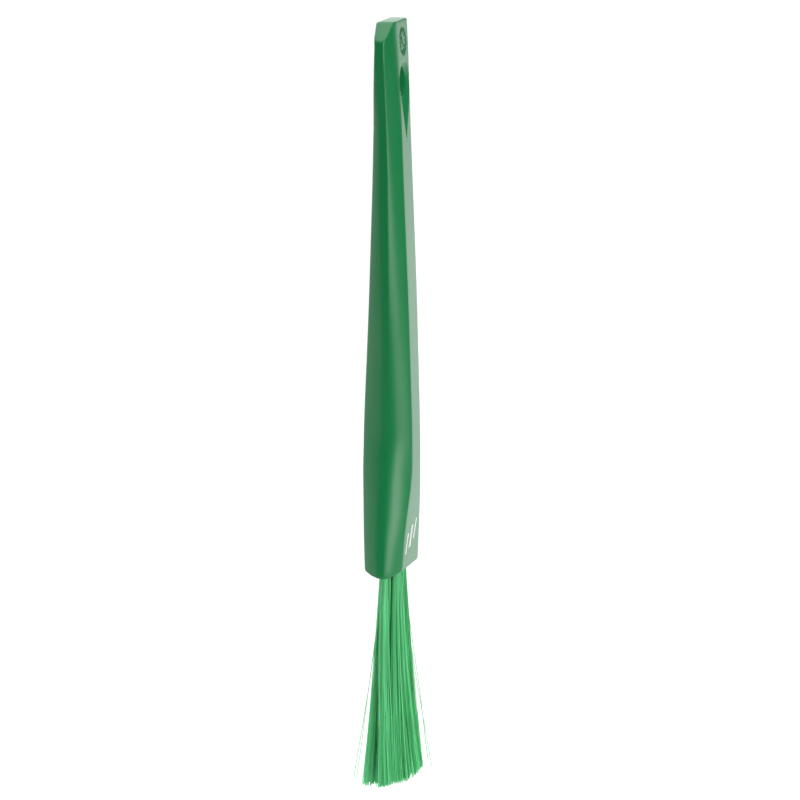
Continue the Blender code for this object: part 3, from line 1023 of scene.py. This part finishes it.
def filamentTree():
    tree = bpy.data.node_groups.new("growFilaments", "GeometryNodeTree")
    addSockets(tree, filamentInputs, {"Geometry": "Geometry"})
    given = addNode(tree, "NodeGroupInput").outputs
    shape = strandShape

    # roots fill a round hole evenly by the golden angle, each a little off its ideal spot
    index = outputOf(tree, "GeometryNodeInputIndex")
    share = mathNode(tree, "DIVIDE", add(tree, index, 0.5), given["Strands"])
    distance = mathNode(tree, "SQRT", share)
    angle = multiply(tree, index, math.pi * (3 - math.sqrt(5)))
    spot = combine(tree, multiply(tree, distance, mathNode(tree, "COSINE", angle)),
                   multiply(tree, distance, mathNode(tree, "SINE", angle)), 0.0)
    off = shape["rootJitter"]
    jitter = randomNode(tree, "FLOAT_VECTOR", (-off, -off, 0.0), (off, off, 0.0), index,
                        given["Seed"])
    points = outputOf(tree, "GeometryNodePoints", {"Count": given["Strands"]})
    points = storeNode(tree, points, "rootSpot", "FLOAT_VECTOR",
                       vectorNode(tree, "ADD", spot, jitter))
    points = storeNode(tree, points, "strandId", "INT", index)
    line = outputOf(tree, "GeometryNodeCurvePrimitiveLine", {"End": (0.0, 0.0, 1.0)})
    line = outputOf(tree, "GeometryNodeResampleCurve", {"Curve": line, "Count": shape["points"]})
    strands = outputOf(tree, "GeometryNodeInstanceOnPoints", {"Points": points, "Instance": line})
    strands = outputOf(tree, "GeometryNodeRealizeInstances", {"Geometry": strands})

    # every strand has a scatter, a bend, a trim and a tone of its own
    rootSpot = readNode(tree, "rootSpot", "FLOAT_VECTOR")
    strandId = readNode(tree, "strandId", "INT")
    along = addNode(tree, "GeometryNodeSplineParameter").outputs["Factor"]

    def ownValue(kind, low, high, seed):
        return randomNode(tree, kind, low, high, strandId, add(tree, given["Seed"], shape[seed]))

    root = split(tree, rootSpot)
    scatter = split(tree, ownValue("FLOAT_VECTOR", (-1.0, -1.0, 0.0), (1.0, 1.0, 1.0),
                                   "scatterSeed"))
    bend = split(tree, ownValue("FLOAT_VECTOR", (-1.0, -1.0, 0.0),
                                (1.0, 1.0, shape["phaseRange"]), "bendSeed"))
    trim = ownValue("FLOAT", 0.0, 1.0, "trimSeed")
    tone = ownValue("FLOAT", 0.0, 1.0, "toneSeed")
    arch = mathNode(tree, "SINE", multiply(tree, along, math.pi))
    phase = add(tree, multiply(tree, along, shape["ripples"]), bend[2])
    growing = multiply(tree, along, shape["rippleShare"])
    ripple = multiply(tree, mathNode(tree, "SINE", phase), growing)
    bow = multiply(tree, given["Wave"], add(tree, arch, ripple))

    # strands of one small cell of the tuft lean together into a clump
    sized = combine(tree, given["Clump Size"], given["Clump Size"], 1.0)
    cell = vectorNode(tree, "SNAP", rootSpot, sized)
    toMiddle = vectorNode(tree, "MULTIPLY", sized, (0.5, 0.5, 0.0))
    clump = split(tree, vectorNode(tree, "ADD", cell, toMiddle))

    # from its root to its own tip; tips near the bunch's ends are drawn in
    places = []
    reaches = []
    for axis, letter in enumerate("XY"):
        start = add(tree, given["Root " + letter], multiply(tree, root[axis], given["Root Radius"]))
        spread = mixNumbers(tree, root[axis], clump[axis], given["Clumping"])
        reach = add(tree, given["Tip " + letter],
                    multiply(tree, spread, given["Tip Spread " + letter]))
        reach = add(tree, reach, multiply(tree, scatter[axis], given["Scatter"]))
        if reaches:
            outwards = mathNode(tree, "DIVIDE", reaches[0], given["Half Width"])
            drawnIn = multiply(tree, mathNode(tree, "POWER", outwards, 2.0), given["Ends Drawn In"])
            reach = multiply(tree, reach, mathNode(tree, "SUBTRACT", 1.0, drawnIn))
        reaches.append(reach)
        flared = mathNode(tree, "POWER", along, given["Flare " + letter])
        places.append(add(tree, mixNumbers(tree, start, reach, flared),
                          multiply(tree, bend[axis], bow)))
    sloped = multiply(tree, reaches[1], given["Slant"])
    shorter = multiply(tree, multiply(tree, trim, trim), given["Unevenness"])
    tipHeight = add(tree, mathNode(tree, "SUBTRACT", given["Tip Height"], sloped), shorter)
    height = mixNumbers(tree, given["Mouth Height"], tipHeight, along)
    strands = outputOf(tree, "GeometryNodeSetPosition", {
        "Geometry": strands, "Position": combine(tree, *places, height),
    })

    # a filament keeps its thickness and rounds off over its last few hundredths
    ending = multiply(tree, mathNode(tree, "POWER", along, shape["taperStart"]),
                      shape["taperShare"])
    strands = outputOf(tree, "GeometryNodeSetCurveRadius", {
        "Curve": strands, "Radius": mathNode(tree, "SUBTRACT", 1.0, ending),
    })

    # tone by strand, by clump and in broad bands across the tips, then a painted lightening that stands
    # in for fill light on the shaded back row
    cellTone = outputOf(tree, "ShaderNodeTexWhiteNoise", {"Vector": cell, "W": given["Seed"]},
                        noise_dimensions="4D")
    tone = mixNumbers(tree, tone, cellTone, given["Clump Tone"])
    band = noise(tree, combine(tree, *reaches, 0.0),
                 mathNode(tree, "DIVIDE", 1.0, given["Band Width"]), 0.0)
    band = smoothRise(tree, band, shape["bandLow"], shape["bandHigh"])
    tone = mixNumbers(tree, tone, band, given["Band Tone"])
    tone = add(tree, tone, given["Painted Fill"])
    strands = storeNode(tree, strands, "strandShade", "FLOAT", tone)

    # the way out of its clump, its tuft and the whole bunch, for soft shading
    fromClump = vectorNode(tree, "SUBTRACT", rootSpot, combine(tree, clump[0], clump[1], 0.0))
    fromBunch = combine(tree, multiply(tree, given["Tip X"], shape["bunchWay"][0]),
                        multiply(tree, given["Tip Y"], shape["bunchWay"][1]), 0.0)
    clumpWay = vectorNode(tree, "MULTIPLY", fromClump, shape["clumpWay"])
    tuftWay = vectorNode(tree, "MULTIPLY", rootSpot, shape["tuftWay"])
    outWay = vectorNode(tree, "ADD", vectorNode(tree, "ADD", clumpWay, tuftWay), fromBunch)
    strands = storeNode(tree, strands, "outWay", "FLOAT_VECTOR",
                        vectorNode(tree, "NORMALIZE", outWay))

    ring = outputOf(tree, "GeometryNodeCurvePrimitiveCircle", {
        "Resolution": shape["sides"], "Radius": given["Filament Radius"],
    })
    strands = outputOf(tree, "GeometryNodeCurveToMesh", {
        "Curve": strands, "Profile Curve": ring, "Fill Caps": True,
    })
    strands = outputOf(tree, "GeometryNodeSetShadeSmooth", {"Geometry": strands})
    strands = outputOf(tree, "GeometryNodeRealizeInstances", {"Geometry": strands})
    strands = outputOf(tree, "GeometryNodeSetMaterial", {
        "Geometry": strands, "Material": given["Material"],
    })
    addNode(tree, "NodeGroupOutput", {"Geometry": strands})
    return tree


growFilaments = filamentTree()


def growPiece(name, values):
    thing = newObject(name, bpy.data.meshes.new(name + "_seed"))
    modifier = thing.modifiers.new("growFilaments", "NODES")
    modifier.node_group = growFilaments
    values["Material"] = filamentGreen
    for item in growFilaments.interface.items_tree:
        if item.in_out == "INPUT" and item.name in values:
            modifier[item.identifier] = values[item.name]
    bakeModifiers(thing)
    return thing


bristleLook = {
    "length": 0.0640,
    "insideHole": 0.0012,
    "outerWiden": 1.55,
    # painted fill light: the back row's strands are coloured lighter where the middle row shades them
    "backPaintedFill": 0.55,
    "seed": 100,
}
middleTuft = {"Flare X": 0.5, "Flare Y": 1.45, "Tip Spread X": 0.0032}
outerTuft = {"Flare X": 0.8, "Flare Y": 1.65, "Tip Spread X": 0.0050}

# how far the tips of each middle tuft lean to the back
tuftLean = (-0.0017, 0.0014, -0.0008, 0.0010, -0.0015, 0.0016)


def mouthHeight(y):
    return handleLow.z + undersideRise(y) + bristleLook["insideHole"]


def buildTufts():
    field = tuftField
    look = bristleLook
    total = 0
    for number, (name, x, y, tipX, tipY) in enumerate(tuftPlaces()):
        outer = y != 0
        tuft = growPiece("filaments_" + name, {
            **(outerTuft if outer else middleTuft),
            "Root X": x, "Root Y": y,
            "Tip X": tipX * (look["outerWiden"] if outer else 1.0),
            "Tip Y": tipY if outer else tipY + tuftLean[number % len(tuftLean)],
            "Root Radius": field["rootRadius"],
            "Tip Spread Y": field["tuftSpread"],
            "Mouth Height": mouthHeight(y),
            "Tip Height": handleLow.z - look["length"] + field["trimSlant"],
            "Slant": field["trimSlant"] / (field["trimThickness"] / 2),
            "Half Width": field["trimWidth"] / 2,
            # back-row strands get a painted lightening in place of the fill light that their shaded
            # side lacks
            "Painted Fill": look["backPaintedFill"] if y > 0 else 0.0,
            "Seed": look["seed"] + number,
        })
        total += len(tuft.data.polygons)
        settle(tuft, ["tuft_" + name])
    print("filaments made,", total, "faces")


# single filaments that stand out of the bunch: tip place and height, and the row of their root
strays = (
    (-0.0162, 0.0081, -0.2078, "back"),
    (-0.0138, 0.0079, -0.2086, "back"),
    (0.0136, -0.0078, -0.2078, "front"),
    (0.0169, -0.0083, -0.2112, "front"),
)
strayLook = {
    "Strands": 1,
    "Unevenness": 0.0,
    "Wave": 0.0005,
    "Scatter": 0.0,
    "Flare Y": 1.3,
    "Ends Drawn In": 0.0,
    "Clump Tone": 0.6,
    "Band Width": 0.0018,
    "Band Tone": 0.5,
    "Filament Radius": 0.0001,
}
straySeed = 300


def buildStrays():
    for number, (tipX, tipY, tipZ, row) in enumerate(strays):
        y = tuftField["rowSpacing"] * (1 if row == "back" else -1)
        stray = growPiece("stray_filament_%d" % (number + 1), {
            **strayLook,
            "Root X": math.copysign(tuftField["pitch"], tipX), "Root Y": y,
            "Tip X": tipX, "Tip Y": tipY,
            "Mouth Height": mouthHeight(y), "Tip Height": tipZ,
            "Seed": straySeed + number,
        })
        settle(stray)


buildTufts()
buildStrays()


# floor, light and camera

studio = {
    "floorBelow": 0.045,
    "floorAhead": 0.3,
    "floorBehind": 9.0,
    "floorAside": 0.8,
    "floorColor": (0.66, 0.66, 0.66, 1.0),
    "floorRoughness": 0.9,
    "floorGlow": 0.36,
    "floorMirrored": 0.80,
    "mirrorStart": 0.25,
    "mirrorFull": 0.55,
    "backLevel": 1.6,
    "backAzimuth": 146.0,
    "backStart": 0.47,
    "backFull": 0.68,
    "topLevel": 3.4,
    "topStart": 0.84,
    "topFull": 0.96,
    "darkLevel": 0.065,
    "white": (1.0, 1.0, 1.0, 1.0),
}


# direction from the brush for an azimuth and an elevation in degrees
def wayTo(azimuth, elevation):
    a = math.radians(azimuth)
    e = math.radians(elevation)
    return Vector((math.sin(a) * math.cos(e), -math.cos(a) * math.cos(e), math.sin(e)))


# the floor reaches far behind the brush and only a little towards the camera
def buildFloor():
    level = cadBox[0].z - studio["floorBelow"]
    toCamera = wayTo(photoView["azimuth"], 0)
    aside = Vector((-toCamera.y, toCamera.x, 0)) * studio["floorAside"]
    ahead = toCamera * studio["floorAhead"]
    behind = toCamera * -studio["floorBehind"]
    bm = bmesh.new()
    for place in (ahead - aside, ahead + aside, behind + aside, behind - aside):
        bm.verts.new((place.x, place.y, level))
    bm.faces.new(bm.verts)
    floor = meshObject("floor", bm)
    material, tree, shader = makeMaterial("floorWhite")
    rays = addNode(tree, "ShaderNodeLightPath").outputs
    seen = multiply(tree, rays["Is Camera Ray"], studio["floorGlow"])
    away = vectorNode(tree, "LENGTH", objectPlace(tree))
    far = smoothRise(tree, away, studio["mirrorStart"], studio["mirrorFull"],
                     studio["floorMirrored"])
    mirrored = multiply(tree, rays["Is Glossy Ray"], far)
    setInputs(shader, {
        "Base Color": studio["floorColor"], "Roughness": studio["floorRoughness"],
        "Emission Color": studio["white"],
        "Emission Strength": mathNode(tree, "MAXIMUM", seen, mirrored),
    })
    paint(floor, material)


# white walls behind and above, dark on the side that the photograph was taken from
def buildWorld():
    world = bpy.data.worlds.new("studioWorld")
    bpy.context.scene.world = world
    world.use_nodes = True
    tree = world.node_tree
    shader = tree.nodes["Background"]
    rays = addNode(tree, "ShaderNodeLightPath").outputs
    way = addNode(tree, "ShaderNodeTexCoord").outputs["Generated"]
    facing = vectorNode(tree, "DOT_PRODUCT", way, wayTo(studio["backAzimuth"], 0))
    back = smoothRise(tree, facing, studio["backStart"], studio["backFull"], studio["backLevel"])
    top = smoothRise(tree, split(tree, way)["Z"], studio["topStart"], studio["topFull"],
                     studio["topLevel"])
    level = add(tree, mathNode(tree, "MAXIMUM", back, top), studio["darkLevel"])
    level = mixNumbers(tree, level, 1.0, rays["Is Camera Ray"])
    setInputs(shader, {"Color": studio["white"], "Strength": level})


# places a lamp or the camera so that it looks back along its way from the brush
def aimFrom(thing, target, azimuth, elevation, distance):
    back = wayTo(azimuth, elevation)
    thing.location = target + back * distance
    thing.rotation_mode = "QUATERNION"
    thing.rotation_quaternion = (-back).to_track_quat("-Z", "Y")


# power is in watts, width and height in metres
lamps = {
    "frontSoftbox": {"azimuth": -38, "elevation": 12, "distance": 1.5, "width": 1.0,
                     "height": 1.0, "power": 18.8},
    "sideCard": {"azimuth": 68, "elevation": 2, "distance": 1.5, "width": 0.6,
                 "height": 0.8, "power": 2.5},
    "leftCard": {"azimuth": -135, "elevation": 52, "distance": 1.5, "width": 0.6,
                 "height": 0.8, "power": 3.0},
}


def buildLamps():
    middle = (cadBox[0] + cadBox[1]) / 2
    for name, lamp in lamps.items():
        data = bpy.data.lights.new(name, "AREA")
        data.shape = "RECTANGLE"
        data.energy = lamp["power"]
        data.size = lamp["width"]
        data.size_y = lamp["height"]
        thing = newObject(name, data)
        aimFrom(thing, middle, lamp["azimuth"], lamp["elevation"], lamp["distance"])


photoView = {
    "azimuth": -76.5,
    "elevation": 9.49,
    "distance": 1.6,
    "focalPixels": 5358.5,
    "aimHeight": -0.09548,
    "aimAside": 0.00217,
    "sensorWidth": 36.0,
    "clipStart": 0.05,
    "clipEnd": 50,
}


def buildCamera():
    view = photoView
    data = bpy.data.cameras.new("photoCamera")
    camera = newObject("photoCamera", data)
    data.sensor_width = view["sensorWidth"]
    data.lens = data.sensor_width * view["focalPixels"] / imageSide
    data.clip_start = view["clipStart"]
    data.clip_end = view["clipEnd"]
    a = math.radians(view["azimuth"])
    aside = Vector((math.cos(a), math.sin(a), 0)) * view["aimAside"]
    target = Vector((0, 0, view["aimHeight"])) + aside
    aimFrom(camera, target, view["azimuth"], view["elevation"], view["distance"])
    bpy.context.scene.camera = camera


buildFloor()
buildWorld()
buildLamps()
buildCamera()
bpy.context.scene.view_settings.view_transform = "Standard"
print("studio made")
